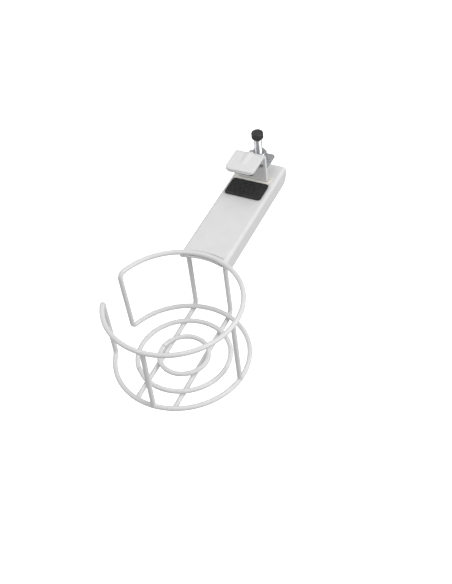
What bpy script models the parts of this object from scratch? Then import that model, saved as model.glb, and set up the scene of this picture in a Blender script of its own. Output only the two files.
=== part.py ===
"""Clamp-on cup holder: a welded wire cup cage on a folded sheet arm, with a screw-driven hook clamp.

Metres, +Z up.  The origin is the middle of the lower jaw pad's upper face, the seat that the desk
rests on.  The arm runs along Y and the cup cage hangs at its -Y end.
"""
import math

import bmesh
import bpy
from mathutils import Matrix, Vector

MM = 0.001
GAP = 0.3 * MM                      # clearance between pieces that touch

# ---- wire cage -----------------------------------------------------------
WIRE_R = 1.75 * MM                  # 3.5 mm wire
RING_R = 46.6 * MM                  # centreline of the top and bottom rings: 90 mm inside
CAGE_H = 53.25 * MM                 # bottom ring centreline to top ring centreline
MIDDLE_R = 32.1 * MM
INNER_R = 17.05 * MM
BASE_RINGS_X = 1.2 * MM             # the two base rings sit a little off the cage's axis
BASE_RINGS_Y = 0.5 * MM
TOP_GAP = (167.1, 200.0)            # degrees, where the two legs leave the top ring
BASE_GAP = (165.0, 197.7)           # and the bottom ring: the legs lean a little
LEG_BEND_R = 3.8 * MM
RUNNER_X = 13.75 * MM               # half the distance between the base runners
RUNNER_BEND_R = 5.3 * MM            # round the bottom ring
RUNNER_SHORT = 1.2 * MM             # runners end this far inside the bottom ring's centreline
UPRIGHT_ANGLES = {"side_upright": -7.4, "front_upright": -88.1}
TOUCH = 2 * WIRE_R + GAP            # centreline distance of two wires that touch
REAR_OFFSET = RUNNER_BEND_R + 0.1 * MM       # rear uprights behind the rings' centreline
SIDES_RES = 2                       # bevel resolution of every wire

# ---- arm -----------------------------------------------------------------
SHEET = 1.5 * MM
ARM_W = 34.6 * MM
WEB_LAP = 1.4 * MM                  # the web reaches this far inside the top ring's centreline
ARM_H = 12.0 * MM
ARM_BEND_R = 2.6 * MM               # outer radius of the two folds
SEAT_Y = 120.0 * MM                 # cup axis to the middle of the clamp seat
ARM_END = 32.5 * MM                 # rear end of the arm behind the seat
FLANGE_SETBACK = 4.5 * MM           # flanges start this far behind the web's front corners
FRONT_CORNER_R = 9.0 * MM
REAR_CORNER_R = 8.0 * MM

# ---- clamp ---------------------------------------------------------------
PAD_T = 1.5 * MM
PAD_L = 17.0 * MM
LOWER_PAD_W = 28.0 * MM
OPENING = 20.0 * MM                 # between the pads at rest
STRIP_T = 2.5 * MM
STRIP_W = 22.0 * MM
LEG_Y = 13.0 * MM                   # middle of the hook's leg behind the seat
JAW_REACH = 23.0 * MM               # from the middle of the leg to the toe
HOOK_BEND_R = 5.5 * MM              # outer radius
TAIL_BELOW_WEB = 13.5 * MM          # leg's end below the web's top at rest
SCREW_Y = 25.1 * MM
SCREW_R = 2.95 * MM
NUT_AF = 10.0 * MM
NUT_T = 5.0 * MM
SHELF_ABOVE_WEB = 9.0 * MM
SHELF_T = 2.0 * MM
BRACKET_H = 12.0 * MM
BRACKET_BEND_R = 3.0 * MM
RIVET_X = 7.6 * MM
RIVET_R = 1.5 * MM
RIVET_HEAD_R = 2.6 * MM
RIVET_FRONT_T = 0.8 * MM
RIVET_DOME_T = 1.3 * MM
GUIDE_WALL = 1.2 * MM
GUIDE_RIM = 1.5 * MM                # stands out above the sheet
GUIDE_LIP = 0.8 * MM                # stands out below it
KNOB_R = 10.0 * MM
KNOB_H = 18.0 * MM
KNOB_BOSS_H = 3.0 * MM
KNOB_BOSS_R = 6.3 * MM
KNOB_LOBES = 6
LOBE_DEPTH = 0.9 * MM
POCKET_R = 6.2 * MM
POCKET_H = 9.0 * MM
HEAD_T = 4.0 * MM                   # the screw's hexagonal head
CAP_R = 5.9 * MM
CAP_T = 2.4 * MM
WASHER_R = 6.0 * MM
WASHER_T = 1.0 * MM
CLIP_T = 0.8 * MM
CLIP_R = 5.0 * MM
GROOVE_R = 2.3 * MM
END_CAP_WALL = 1.1 * MM
END_CAP_SKIRT = 3.2 * MM            # reaches down over the screw's end
SCREW_TOP = 32.0 * MM               # screw's end above the web's top

# ---- levels that follow ----------------------------------------------------
WEB_TOP = -PAD_T - GAP
WEB_BOTTOM = WEB_TOP - SHEET
TOP_RING_Z = WEB_TOP + GAP + WIRE_R
BASE_Z = TOP_RING_Z - CAGE_H
RUNNER_Z = BASE_Z - TOUCH
CUP_Y = -SEAT_Y
JAW_PLATE_Z = OPENING + PAD_T + GAP          # underside of the hook's jaw
LEG_REAR_Y = LEG_Y + STRIP_T / 2

# turns an outline in X and Y into one in Y and Z that is thick along X
ALONG_X = Matrix(((0, 0, 1, 0), (1, 0, 0, 0), (0, 1, 0, 0), (0, 0, 0, 1)))

WHITE = ("white_powder_coat", (0.80, 0.80, 0.80), 0.42, 0.0)
RUBBER = ("black_rubber", (0.02, 0.02, 0.02), 0.85, 0.0)
ZINC = ("zinc_plated_steel", (0.62, 0.63, 0.65), 0.32, 1.0)
NYLON = ("natural_nylon", (0.75, 0.74, 0.70), 0.50, 0.0)
KNOB_BLACK = ("black_plastic", (0.03, 0.03, 0.03), 0.45, 0.0)


# ---- scene and helpers -----------------------------------------------------
def reset():
    for obj in list(bpy.data.objects):
        bpy.data.objects.remove(obj, do_unlink=True)
    made = {}
    for name in ("desk_clamp_cup_holder", "cutters"):
        made[name] = bpy.data.collections.new(name)
        bpy.context.scene.collection.children.link(made[name])
    return made


COLLECTIONS = reset()


def material(spec):
    name, colour, roughness, metallic = spec
    mat = bpy.data.materials.get(name)
    if mat is None:
        mat = bpy.data.materials.new(name)
        mat.use_nodes = True
        shader = mat.node_tree.nodes["Principled BSDF"]
        shader.inputs["Base Color"].default_value = (*colour, 1.0)
        shader.inputs["Roughness"].default_value = roughness
        shader.inputs["Metallic"].default_value = metallic
    return mat


def place(obj, spec, parent=None):
    """Put a finished object in the model's collection, with its material and parent."""
    for owner in list(obj.users_collection):
        owner.objects.unlink(obj)
    COLLECTIONS["desk_clamp_cup_holder"].objects.link(obj)
    obj.data.materials.clear()
    obj.data.materials.append(material(spec))
    if parent is not None:
        obj.parent = parent
        obj.location = obj.location - parent.location
    return obj


def hide_cutter(obj):
    for owner in list(obj.users_collection):
        owner.objects.unlink(obj)
    COLLECTIONS["cutters"].objects.link(obj)
    obj.hide_render = True
    obj.display_type = "WIRE"
    return obj


def mesh_object(name, bm, location=(0, 0, 0)):
    data = bpy.data.meshes.new(name)
    bmesh.ops.recalc_face_normals(bm, faces=bm.faces)
    bm.to_mesh(data)
    bm.free()
    obj = bpy.data.objects.new(name, data)
    obj.location = location
    bpy.context.scene.collection.objects.link(obj)
    return obj


def block(name, size, centre):
    bm = bmesh.new()
    bmesh.ops.create_cube(bm, size=1.0)
    bmesh.ops.scale(bm, vec=Vector(size), verts=bm.verts)
    return mesh_object(name, bm, centre)


def cylinder(name, radius, low, high, xy=(0.0, 0.0), segments=32, axis="Z"):
    bm = bmesh.new()
    bmesh.ops.create_cone(bm, cap_ends=True, segments=segments, radius1=radius, radius2=radius,
                          depth=high - low)
    middle = (high + low) / 2
    if axis == "Y":
        bmesh.ops.rotate(bm, matrix=Matrix.Rotation(math.pi / 2, 3, "X"), verts=bm.verts)
        return mesh_object(name, bm, (xy[0], middle, xy[1]))
    return mesh_object(name, bm, (xy[0], xy[1], middle))


def boolean(obj, other, operation):
    """Add an exact boolean that stays on the object, and keep its cutter hidden."""
    mod = obj.modifiers.new(operation.lower(), "BOOLEAN")
    mod.operation = operation
    mod.solver = "EXACT"
    mod.object = hide_cutter(other)
    return obj


def wire(name, points, spec=WHITE, cyclic=False):
    """A round wire along a list of points."""
    data = bpy.data.curves.new(name, "CURVE")
    data.dimensions = "3D"
    data.bevel_depth = WIRE_R
    data.bevel_resolution = SIDES_RES
    data.use_fill_caps = True
    spline = data.splines.new("POLY")
    spline.points.add(len(points) - 1)
    for point, target in zip(points, spline.points):
        target.co = (*point, 1.0)
    spline.use_cyclic_u = cyclic
    obj = bpy.data.objects.new(name, data)
    bpy.context.scene.collection.objects.link(obj)
    return place(obj, spec)


def outline_plate(name, points, thickness, turn):
    """A flat outline with a thickness, turned into place and made a mesh."""
    data = bpy.data.curves.new(name, "CURVE")
    data.dimensions = "2D"
    data.fill_mode = "BOTH"
    data.extrude = thickness / 2
    spline = data.splines.new("POLY")
    spline.points.add(len(points) - 1)
    for point, target in zip(points, spline.points):
        target.co = (point[0], point[1], 0.0, 1.0)
    spline.use_cyclic_u = True
    curve = bpy.data.objects.new(name + "_outline", data)
    curve.matrix_world = turn
    bpy.context.scene.collection.objects.link(curve)
    bpy.context.view_layer.update()
    evaluated = curve.evaluated_get(bpy.context.evaluated_depsgraph_get())
    mesh = bpy.data.meshes.new_from_object(evaluated)
    mesh.transform(curve.matrix_world)
    bm = bmesh.new()
    bm.from_mesh(mesh)
    bmesh.ops.remove_doubles(bm, verts=bm.verts, dist=1e-6)
    bpy.data.objects.remove(curve, do_unlink=True)
    bpy.data.meshes.remove(mesh)
    return mesh_object(name, bm)


def turned(name, profile, xy, segments=32):
    """A turned piece: (radius, height) points from top to bottom, closed on the axis."""
    bm = bmesh.new()
    verts = [bm.verts.new((radius, 0.0, height)) for radius, height in profile]
    for first, second in zip(verts, verts[1:]):
        bm.edges.new((first, second))
    data = bpy.data.meshes.new(name)
    bm.to_mesh(data)
    bm.free()
    obj = bpy.data.objects.new(name, data)
    obj.location = (*xy, 0.0)
    bpy.context.scene.collection.objects.link(obj)
    mod = obj.modifiers.new("turn", "SCREW")
    mod.steps = segments
    mod.render_steps = segments
    mod.use_merge_vertices = True
    mod.merge_threshold = 1e-6
    return obj


def smooth(obj, angle=35.0):
    obj.data.shade_smooth()
    obj.data.set_sharp_from_angle(angle=math.radians(angle))
    return obj


def arc(centre, radius, start, end, steps):
    """Points of a flat arc, both ends included, angles in degrees."""
    angles = [math.radians(start + (end - start) * i / steps) for i in range(steps + 1)]
    return [(centre[0] + radius * math.cos(a), centre[1] + radius * math.sin(a)) for a in angles]


def fillet_path(corners, radius, steps=6):
    """An open 3-D path whose inner corners are rounded."""
    path = [Vector(corners[0])]
    for before, corner, after in zip(corners, corners[1:], corners[2:]):
        corner = Vector(corner)
        back = (Vector(before) - corner).normalized()
        ahead = (Vector(after) - corner).normalized()
        half = back.angle(ahead) / 2
        reach = radius / math.tan(half)
        centre = corner + (back + ahead).normalized() * radius / math.sin(half)
        start = corner + back * reach - centre
        end = corner + ahead * reach - centre
        total = start.angle(end)
        for i in range(steps + 1):
            t = i / steps
            weight = math.sin(total)
            offset = (start * math.sin((1 - t) * total) + end * math.sin(t * total)) / weight
            path.append(centre + offset)
    path.append(Vector(corners[-1]))
    return path


# ---- cup cage ----------------------------------------------------------------
def ring_point(angle, height, radius=RING_R):
    a = math.radians(angle)
    return Vector((radius * math.cos(a), CUP_Y + radius * math.sin(a), height))


def leg_turn(angle, height, towards, steps=5):
    """Quarter bend from a ring into a leg; towards is the sign of the ring's side of the leg."""
    up = 1 if height == BASE_Z else -1
    points = []
    for i in range(steps + 1):
        t = math.radians(90.0 * i / steps)
        along = LEG_BEND_R * (1 - math.sin(t))
        rise = LEG_BEND_R * (1 - math.cos(t))
        shifted = angle + towards * math.degrees(along / RING_R)
        points.append(ring_point(shifted, height + up * rise))
    return points


def main_wire():
    """Top ring, two legs and bottom ring in one loop."""
    bend = math.degrees(LEG_BEND_R / RING_R)
    steps = 56

    def around(gap, height):
        start, stop = gap[0] - bend, gap[1] - 360.0 + bend
        return [ring_point(start + (stop - start) * i / steps, height) for i in range(1, steps)]

    points = leg_turn(TOP_GAP[0], TOP_RING_Z, -1)[::-1]
    points += around(TOP_GAP, TOP_RING_Z)
    points += leg_turn(TOP_GAP[1] - 360.0, TOP_RING_Z, 1)
    points += leg_turn(BASE_GAP[1] - 360.0, BASE_Z, 1)[::-1]
    points += around(BASE_GAP, BASE_Z)[::-1]
    points += leg_turn(BASE_GAP[0], BASE_Z, -1)
    return wire("main_wire", points, cyclic=True)


def base_ring(name, radius, segments):
    shift = Vector((BASE_RINGS_X, BASE_RINGS_Y, 0))
    points = [ring_point(360.0 * i / segments, BASE_Z, radius) + shift for i in range(segments)]
    return wire(name, points, cyclic=True)


def base_wire(name, side):
    """Rear upright that bends under the bottom ring and runs forward under all three rings."""
    x = side * RUNNER_X
    rear = CUP_Y + math.sqrt((RING_R + REAR_OFFSET) ** 2 - RUNNER_X ** 2)
    front = CUP_Y - math.sqrt(RING_R ** 2 - RUNNER_X ** 2) + RUNNER_SHORT
    corners = [(x, rear, WEB_BOTTOM - 2 * GAP), (x, rear, RUNNER_Z), (x, front, RUNNER_Z)]
    return wire(name, fillet_path(corners, RUNNER_BEND_R))


def upright(name, angle):
    low = ring_point(angle, BASE_Z + WIRE_R + GAP)
    high = ring_point(angle, TOP_RING_Z - WIRE_R - GAP)
    return wire(name, [low, high])


def build_cage():
    main_wire()
    base_ring("middle_ring", MIDDLE_R, 48)
    base_ring("inner_ring", INNER_R, 36)
    base_wire("base_wire_left", -1)
    base_wire("base_wire_right", 1)
    for name, angle in UPRIGHT_ANGLES.items():
        upright(name, angle)


# ---- arm -------------------------------------------------------------------
def channel_section():
    """Inverted U of sheet, in X and Z, with rounded folds."""
    half = ARM_W / 2
    low = WEB_TOP - ARM_H
    inner_r = ARM_BEND_R - SHEET
    outer = arc((half - ARM_BEND_R, WEB_TOP - ARM_BEND_R), ARM_BEND_R, 0, 90, 5)
    inner = arc((half - ARM_BEND_R, WEB_TOP - ARM_BEND_R), inner_r, 90, 0, 5)
    right = [(half, low)] + outer
    left = [(-x, z) for x, z in reversed(right)]
    inner_right = inner + [(half - SHEET, low)]
    inner_left = [(-x, z) for x, z in reversed(inner_right)]
    return right + left + inner_left + inner_right


def side_outline():
    """Side view of the arm in Y and Z: flanges set back at the front, lower corners rounded."""
    front = CUP_Y + math.sqrt(RING_R ** 2 - (ARM_W / 2) ** 2) + FLANGE_SETBACK
    low = WEB_TOP - ARM_H
    notch = WEB_BOTTOM - GAP
    above = WEB_TOP + MM
    points = [(front - 10 * MM, above), (front - 10 * MM, notch), (front, notch)]
    points += arc((front + FRONT_CORNER_R, low + FRONT_CORNER_R), FRONT_CORNER_R, 180, 270, 6)
    points += arc((ARM_END - REAR_CORNER_R, low + REAR_CORNER_R), REAR_CORNER_R, 270, 360, 6)
    points.append((ARM_END, above))
    return points


def build_arm():
    front = CUP_Y + RING_R - 12 * MM
    length = ARM_END + 5 * MM - front
    middle = (ARM_END + 5 * MM + front) / 2
    along_y = Matrix.Translation((0, middle, 0)) @ Matrix.Rotation(math.pi / 2, 4, "X")
    arm = outline_plate("arm_channel", channel_section(), length, along_y)
    boolean(arm, outline_plate("arm_side", side_outline(), ARM_W + 10 * MM, ALONG_X), "INTERSECT")
    arc_cut = cylinder("arm_front_arc", RING_R - WEB_LAP, WEB_TOP - ARM_H - MM, WEB_TOP + MM,
                       (0, CUP_Y), segments=128)
    boolean(arm, arc_cut, "DIFFERENCE")
    width, depth = guide_sizes()
    slot = block("arm_slot", (width + 2 * GAP, depth + 2 * GAP, 4 * MM),
                 (0, LEG_Y, WEB_TOP - SHEET / 2))
    boolean(arm, slot, "DIFFERENCE")
    hole = cylinder("arm_screw_hole", SCREW_R + GAP, WEB_BOTTOM - MM, WEB_TOP + MM, (0, SCREW_Y))
    boolean(arm, hole, "DIFFERENCE")
    return place(arm, WHITE)


# ---- pieces fixed to the arm ---------------------------------------------------
def guide_sizes():
    """Width and depth of the guide's body, which fills the web's slot."""
    return STRIP_W + 2 * (GAP + GUIDE_WALL), STRIP_T + 2 * (GAP + GUIDE_WALL)


def build_leg_guide():
    """Nylon frame in the web's slot: rim above the sheet, snap lip below it."""
    width, depth = guide_sizes()
    low = WEB_BOTTOM - GAP - MM
    high = WEB_TOP + GAP + MM
    guide = block("leg_guide", (width, depth, high - low), (0, LEG_Y, (low + high) / 2))
    rim = block("guide_rim", (width + 2 * GUIDE_RIM, depth + 2 * GUIDE_RIM, MM),
                (0, LEG_Y, high - MM / 2))
    lip = block("guide_lip", (width + 2 * GUIDE_LIP, depth + 2 * GUIDE_LIP, MM),
                (0, LEG_Y, low + MM / 2))
    hole = block("guide_hole", (STRIP_W + 2 * GAP, STRIP_T + 2 * GAP, high - low + 2 * MM),
                 (0, LEG_Y, (low + high) / 2))
    boolean(guide, rim, "UNION")
    boolean(guide, lip, "UNION")
    boolean(guide, hole, "DIFFERENCE")
    return place(guide, NYLON)


def pad(name, width, low, parent=None):
    """Rubber jaw pad with small chamfers on its edges."""
    obj = block(name, (width, PAD_L, PAD_T), (0, 0, low + PAD_T / 2))
    mod = obj.modifiers.new("edges", "BEVEL")
    mod.width = 0.3 * MM
    mod.segments = 1
    return place(obj, RUBBER, parent)


# ---- sliding jaw -----------------------------------------------------------------
def hook_outline():
    """Side view of the bent strip in Y and Z: jaw forward, leg down."""
    top = JAW_PLATE_Z + STRIP_T
    rear = LEG_REAR_Y
    front = LEG_Y - STRIP_T / 2
    tail = WEB_TOP - TAIL_BELOW_WEB
    toe = LEG_Y - JAW_REACH
    centre = (rear - HOOK_BEND_R, top - HOOK_BEND_R)
    points = [(toe, JAW_PLATE_Z)]
    points += arc(centre, HOOK_BEND_R - STRIP_T, 90, 0, 6)
    points += [(front, tail), (rear, tail)]
    points += arc(centre, HOOK_BEND_R, 0, 90, 6)
    points.append((toe, top))
    return points


def build_hook(parent):
    hook = outline_plate("clamp_hook", hook_outline(), STRIP_W, ALONG_X)
    for name, side in (("left", -1), ("right", 1)):
        hole = cylinder(name + "_rivet_hole", RIVET_R + GAP, LEG_Y - 5 * MM, LEG_Y + 5 * MM,
                        (side * RIVET_X, rivet_height()), segments=16, axis="Y")
        boolean(hook, hole, "DIFFERENCE")
    return place(hook, WHITE, parent)


def shelf_low():
    return WEB_TOP + SHELF_ABOVE_WEB


def rivet_height():
    return shelf_low() + BRACKET_H - 4.0 * MM


def build_nut_bracket(parent):
    """L-shaped bracket behind the leg; its shelf carries the nut."""
    near = LEG_REAR_Y + GAP
    far = SCREW_Y + NUT_AF / 2 + 1.0 * MM
    low = shelf_low()
    centre = (near + BRACKET_BEND_R, low + BRACKET_BEND_R)
    points = [(near, low + BRACKET_H)]
    points += arc(centre, BRACKET_BEND_R, 180, 270, 4)
    points += [(far, low), (far, low + SHELF_T)]
    points += arc(centre, BRACKET_BEND_R - SHELF_T, 270, 180, 4)
    points.append((near + SHELF_T, low + BRACKET_H))
    bracket = outline_plate("nut_bracket", points, STRIP_W - 2 * MM, ALONG_X)
    for name, side in (("left", -1), ("right", 1)):
        hole = cylinder(name + "_bracket_hole", RIVET_R + GAP, near - MM, near + SHELF_T + MM,
                        (side * RIVET_X, rivet_height()), segments=16, axis="Y")
        boolean(bracket, hole, "DIFFERENCE")
    hole = cylinder("bracket_screw_hole", SCREW_R + GAP, low - MM, low + SHELF_T + MM, (0, SCREW_Y))
    boolean(bracket, hole, "DIFFERENCE")
    return place(bracket, ZINC, parent)


def build_rivet(name, side, parent):
    """Rivet along Y: flat head in the jaw, domed head behind the bracket."""
    front = -STRIP_T / 2 - GAP
    back = STRIP_T / 2 + GAP + SHELF_T + GAP
    dome = back + RIVET_DOME_T
    end = front - RIVET_FRONT_T
    profile = [(0.0, dome), (0.6 * RIVET_HEAD_R, dome - 0.2 * MM), (RIVET_HEAD_R, back + 0.4 * MM),
               (RIVET_HEAD_R, back), (RIVET_R, back), (RIVET_R, front), (RIVET_HEAD_R, front),
               (RIVET_HEAD_R, end), (0.0, end)]
    rivet = turned(name, profile, (0.0, 0.0), segments=16)
    rivet.rotation_euler = (-math.pi / 2, 0.0, 0.0)
    rivet.location = (side * RIVET_X, LEG_Y, rivet_height())
    return place(rivet, ZINC, parent)


def build_nut(parent):
    low = shelf_low() + SHELF_T + GAP
    bm = bmesh.new()
    across = NUT_AF / math.sqrt(3)
    bmesh.ops.create_cone(bm, cap_ends=True, segments=6, radius1=across, radius2=across, depth=NUT_T)
    nut = mesh_object("hex_nut", bm, (0, SCREW_Y, low + NUT_T / 2))
    bore = cylinder("nut_bore", SCREW_R + GAP, low - MM, low + NUT_T + MM, (0, SCREW_Y))
    boolean(nut, bore, "DIFFERENCE")
    return place(nut, ZINC, parent)


# ---- turning screw ------------------------------------------------------------------
def knob_levels():
    top = WEB_BOTTOM - GAP - WASHER_T - GAP
    bottom = top - KNOB_H
    pocket = bottom + POCKET_H
    return {"top": top, "lobes": top - KNOB_BOSS_H, "bottom": bottom, "pocket": pocket,
            "head_top": pocket - GAP, "head_low": pocket - GAP - HEAD_T}


def clip_level():
    """Underside of the retaining clip, above the top washer."""
    return WEB_TOP + GAP + WASHER_T + GAP


def build_screw(parent):
    """Shank with the clip's groove, joined to a hex head inside the knob."""
    levels = knob_levels()
    low = clip_level() - 0.1 * MM
    high = clip_level() + CLIP_T + 0.1 * MM
    top = WEB_TOP + SCREW_TOP
    profile = [(0.0, top), (SCREW_R - 0.8 * MM, top), (SCREW_R, top - 0.8 * MM), (SCREW_R, high),
               (GROOVE_R, high), (GROOVE_R, low), (SCREW_R, low),
               (SCREW_R, levels["head_low"] + MM), (0.0, levels["head_low"] + MM)]
    screw = turned("clamp_screw", profile, (0.0, SCREW_Y), segments=24)
    bm = bmesh.new()
    across = NUT_AF / math.sqrt(3)
    bmesh.ops.create_cone(bm, cap_ends=True, segments=6, radius1=across, radius2=across,
                          depth=levels["head_top"] - levels["head_low"])
    head = mesh_object("screw_head", bm, (0, SCREW_Y, (levels["head_top"] + levels["head_low"]) / 2))
    boolean(screw, head, "UNION")
    return place(screw, ZINC, parent)


def build_knob(parent):
    """Lobed knob with a boss on top, a bore for the shank and a pocket for the head."""
    levels = knob_levels()
    count = KNOB_LOBES * 10
    points = []
    for i in range(count):
        a = 2 * math.pi * i / count
        radius = KNOB_R - LOBE_DEPTH + LOBE_DEPTH * math.cos(KNOB_LOBES * a)
        points.append((radius * math.cos(a), radius * math.sin(a)))
    middle = (levels["lobes"] + levels["bottom"]) / 2
    knob = outline_plate("knob", points, levels["lobes"] - levels["bottom"],
                         Matrix.Translation((0, SCREW_Y, middle)))
    boss = cylinder("knob_boss", KNOB_BOSS_R, levels["lobes"] - 2 * MM, levels["top"], (0, SCREW_Y))
    bore = cylinder("knob_bore", SCREW_R + GAP, levels["bottom"] - MM, levels["top"] + MM, (0, SCREW_Y))
    pocket = cylinder("knob_pocket", POCKET_R, levels["bottom"] - MM, levels["pocket"], (0, SCREW_Y))
    boolean(knob, boss, "UNION")
    boolean(knob, bore, "DIFFERENCE")
    boolean(knob, pocket, "DIFFERENCE")
    return place(knob, KNOB_BLACK, parent)


def build_knob_cap(parent):
    low = knob_levels()["bottom"] + 0.2 * MM
    chamfer = 0.4 * MM
    profile = [(0.0, low + CAP_T), (CAP_R, low + CAP_T), (CAP_R, low + chamfer),
               (CAP_R - chamfer, low), (0.0, low)]
    cap = turned("knob_cap", profile, (0.0, SCREW_Y), segments=32)
    return place(cap, KNOB_BLACK, parent)


def washer(name, low, spec, parent):
    hole_r = SCREW_R + GAP
    ring = cylinder(name, WASHER_R, low, low + WASHER_T, (0, SCREW_Y))
    boolean(ring, cylinder(name + "_bore", hole_r, low - MM, low + WASHER_T + MM, (0, SCREW_Y)),
            "DIFFERENCE")
    return place(ring, spec, parent)


def build_retaining_clip(parent):
    """E-clip: an open ring that snaps into the groove from the rear."""
    low = clip_level()
    clip = cylinder("retaining_clip", CLIP_R, low, low + CLIP_T, (0, SCREW_Y))
    bore = cylinder("clip_bore", GROOVE_R + GAP, low - MM, low + CLIP_T + MM, (0, SCREW_Y))
    mouth = block("clip_mouth", (3.6 * MM, 8 * MM, 4 * MM), (0, SCREW_Y + 4.5 * MM, low))
    boolean(clip, bore, "DIFFERENCE")
    boolean(clip, mouth, "DIFFERENCE")
    return place(clip, ZINC, parent)


def build_end_cap(parent):
    """Thimble over the screw's end, open below."""
    roof = 1.2 * MM
    top = WEB_TOP + SCREW_TOP + GAP + roof
    low = WEB_TOP + SCREW_TOP - END_CAP_SKIRT
    inner = SCREW_R + GAP
    outer = inner + END_CAP_WALL
    profile = [(0.0, top), (outer - roof, top), (outer, top - roof), (outer, low),
               (inner, low), (inner, top - roof), (0.0, top - roof)]
    cap = turned("screw_end_cap", profile, (0.0, SCREW_Y), segments=24)
    return place(cap, KNOB_BLACK, parent)


# ---- assembly -------------------------------------------------------------------------
def axis_empty(name, location):
    empty = bpy.data.objects.new(name, None)
    empty.location = location
    COLLECTIONS["desk_clamp_cup_holder"].objects.link(empty)
    return empty


def build():
    build_cage()
    build_arm()
    build_leg_guide()
    pad("lower_jaw_pad", LOWER_PAD_W, -PAD_T)
    jaw = axis_empty("jaw_slide_axis", (0.0, LEG_Y, 0.0))
    build_hook(jaw)
    pad("upper_jaw_pad", STRIP_W - 2 * MM, OPENING, jaw)
    build_nut_bracket(jaw)
    build_rivet("left_rivet", -1, jaw)
    build_rivet("right_rivet", 1, jaw)
    build_nut(jaw)
    screw = axis_empty("screw_turn_axis", (0.0, SCREW_Y, 0.0))
    build_screw(screw)
    build_knob(screw)
    build_knob_cap(screw)
    washer("thrust_washer", WEB_BOTTOM - GAP - WASHER_T, ZINC, screw)
    washer("top_washer", WEB_TOP + GAP, NYLON, screw)
    build_retaining_clip(screw)
    build_end_cap(screw)
    for obj in COLLECTIONS["desk_clamp_cup_holder"].objects:
        if obj.type == "MESH":
            smooth(obj)


build()
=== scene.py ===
"""Looks of the clamp-on cup holder: every CAD node gets a finely shaped piece that stands for it.

Metres, +Z up, in the CAD frame.  The seat of the clamp is the origin, the arm runs along Y and the
cup cage hangs at its -Y end.  Sizes and places are read from the CAD nodes' boxes.
"""
import math

import bmesh
import bpy
from mathutils import Matrix, Vector, noise


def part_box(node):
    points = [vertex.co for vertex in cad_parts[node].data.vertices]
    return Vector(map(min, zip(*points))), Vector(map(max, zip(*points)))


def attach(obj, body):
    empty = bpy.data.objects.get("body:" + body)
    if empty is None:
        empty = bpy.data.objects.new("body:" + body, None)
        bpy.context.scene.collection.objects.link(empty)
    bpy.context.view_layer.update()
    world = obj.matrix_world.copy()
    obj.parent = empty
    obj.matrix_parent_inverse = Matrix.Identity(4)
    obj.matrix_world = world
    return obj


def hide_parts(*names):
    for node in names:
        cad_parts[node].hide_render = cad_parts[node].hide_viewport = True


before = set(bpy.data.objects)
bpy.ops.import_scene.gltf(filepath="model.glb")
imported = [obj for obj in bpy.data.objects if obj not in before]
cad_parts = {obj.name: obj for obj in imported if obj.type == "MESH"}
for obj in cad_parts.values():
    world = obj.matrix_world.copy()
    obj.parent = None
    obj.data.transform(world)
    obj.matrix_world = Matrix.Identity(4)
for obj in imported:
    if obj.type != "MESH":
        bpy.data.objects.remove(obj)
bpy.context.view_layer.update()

MM = 0.001
GAP = 0.3 * MM                        # the CAD's clearance between touching pieces

# ---- what the frame says ----
MAIN_LOW, MAIN_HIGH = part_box("main_wire")
INNER_LOW, INNER_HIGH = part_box("inner_ring")
MIDDLE_LOW, MIDDLE_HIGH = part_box("middle_ring")
RIGHT_LOW, RIGHT_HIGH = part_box("base_wire_right")
ARM_LOW, ARM_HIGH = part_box("arm_channel")
HOOK_LOW, HOOK_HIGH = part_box("clamp_hook")
SCREW_LOW, SCREW_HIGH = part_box("clamp_screw")
NUT_LOW, NUT_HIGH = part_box("hex_nut")

WIRE_R = (INNER_HIGH.z - INNER_LOW.z) / 2
CUP_Y = (MAIN_LOW.y + MAIN_HIGH.y) / 2
BASE_Z = (INNER_LOW.z + INNER_HIGH.z) / 2
TOP_Z = MAIN_HIGH.z - WIRE_R
RING_R = (MAIN_HIGH.y - MAIN_LOW.y) / 2 - WIRE_R
BASE_RINGS_X = (INNER_LOW.x + INNER_HIGH.x) / 2
BASE_RINGS_Y = (INNER_LOW.y + INNER_HIGH.y) / 2
MIDDLE_R = (MIDDLE_HIGH.x - MIDDLE_LOW.x) / 2 - WIRE_R
INNER_R = (INNER_HIGH.x - INNER_LOW.x) / 2 - WIRE_R
RUNNER_X = (RIGHT_LOW.x + RIGHT_HIGH.x) / 2
RUNNER_Z = RIGHT_LOW.z + WIRE_R
RUNNER_FRONT = RIGHT_LOW.y
UPRIGHT_Y = RIGHT_HIGH.y - WIRE_R
WEB_TOP = ARM_HIGH.z
SCREW_Y = (SCREW_LOW.y + SCREW_HIGH.y) / 2

# ---- sizes that the boxes don't show ----
TOP_GAP = (167.1, 200.0)              # degrees, where the two legs leave the top ring
BASE_GAP = (165.0, 197.7)             # and the bottom ring
LEG_BEND_R = 3.8 * MM
RUNNER_BEND_R = 5.3 * MM
SEAM_HALF = 0.42 * MM                 # groove at the base rings' butt joints
SEAM_DEPTH = 0.60 * MM
WELD_REACH = 2.6 * MM                 # how far a weld runs along a ring, each way
UPRIGHT_REACH = 2.8 * MM
WELD_SKIN = 0.04 * MM                 # the weld's wires stand this far outside the real ones
WELD_VOXEL = 0.2 * MM
WELD_SMOOTHING = 9
CROSSING_BLOB = (1.45 * MM, 1.45 * MM, 1.1 * MM)    # weld metal, half sizes in X, Y and Z
REAR_BEND_BLOB = (1.3 * MM, 1.6 * MM, 1.6 * MM)
FRONT_END_BLOB = (1.3 * MM, 1.2 * MM, 1.0 * MM)
UPRIGHT_BLOB = (1.75 * MM, 1.75 * MM, 0.9 * MM)
WEB_BLOB = (2.3 * MM, 2.1 * MM, 0.8 * MM)
RIM_BEAD_R = 0.72 * MM                # bead between the top ring and the web
RIM_BEAD_INSET = 1.1 * MM
RIM_BEAD_DROP = 0.3 * MM
RIM_BEAD_STOP = 3.2 * MM              # it ends this far short of the arm's sides
SHEET = 1.5 * MM
FOLD_R = 2.6 * MM                     # outer radius of the arm's folds
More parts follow.
